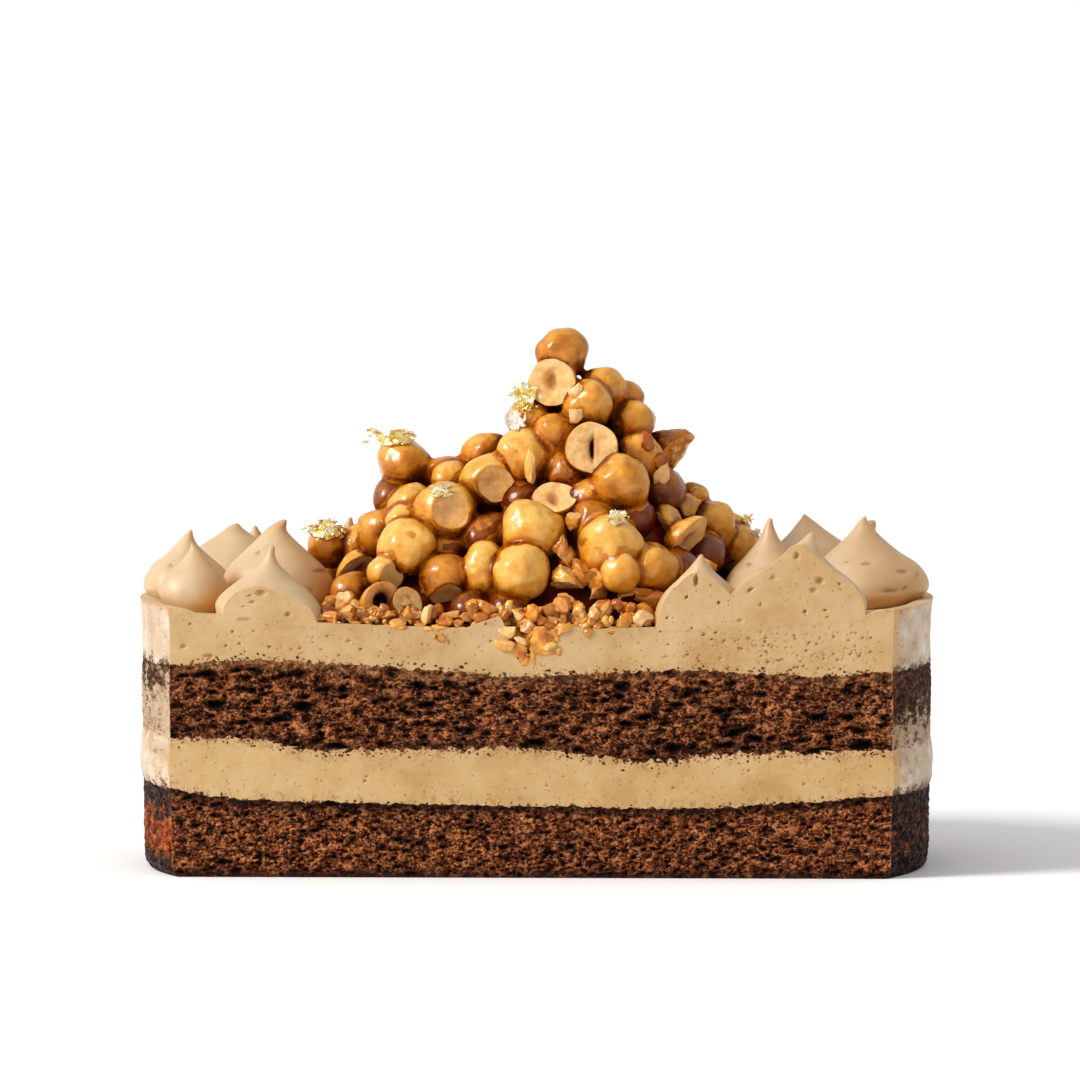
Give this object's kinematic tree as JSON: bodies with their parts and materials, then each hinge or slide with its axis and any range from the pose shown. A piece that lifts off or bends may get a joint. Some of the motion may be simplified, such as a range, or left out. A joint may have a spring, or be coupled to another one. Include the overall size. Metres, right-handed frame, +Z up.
{
  "type": "coffee hazelnut mousse cake",
  "caption": "Round layer cake with a straight front cut: chocolate sponge and coffee mousse, piped kisses and a heap of caramel hazelnuts.",
  "frame": {"origin": "centre of the round cake on its flat base", "axes": "+X along the straight cut, to the right as the cut is looked at; the cut faces -Y; +Z up"},
  "size_m": [0.2032, 0.1438, 0.1367],
  "materials": {
    "sponge": "open, moist crumb",
    "mousse": "satin, with fine air bubbles where it is cut",
    "caramel_nuts": "glossy caramel coat",
    "gold_leaf": "crumpled edible gold leaf"
  },
  "bodies": {
    "root": {"kiss_inner_1": "mousse", "kiss_inner_2": "mousse", "kiss_inner_3": "mousse", "kiss_inner_4": "mousse", "kiss_inner_5": "mousse", "kiss_left_back": "mousse", "kiss_left_cut": "mousse", "kiss_left_far": "mousse", "kiss_left_farthest": "mousse", "kiss_left_front": "mousse", "kiss_left_inner": "mousse", "kiss_left_rim": "mousse", "kiss_outer_1": "mousse", "kiss_outer_2": "mousse", "kiss_outer_3": "mousse", "kiss_outer_4": "mousse", "kiss_outer_5": "mousse", "kiss_right_back": "mousse", "kiss_right_cut_large": "mousse", "kiss_right_cut_small": "mousse", "kiss_right_far": "mousse", "kiss_right_inner": "mousse", "kiss_right_rim": "mousse", "lower_sponge": "sponge", "middle_mousse": "mousse", "nut_heap": "caramel_nuts", "top_mousse": "mousse", "upper_sponge": "sponge"}
  },
  "joints": []
}
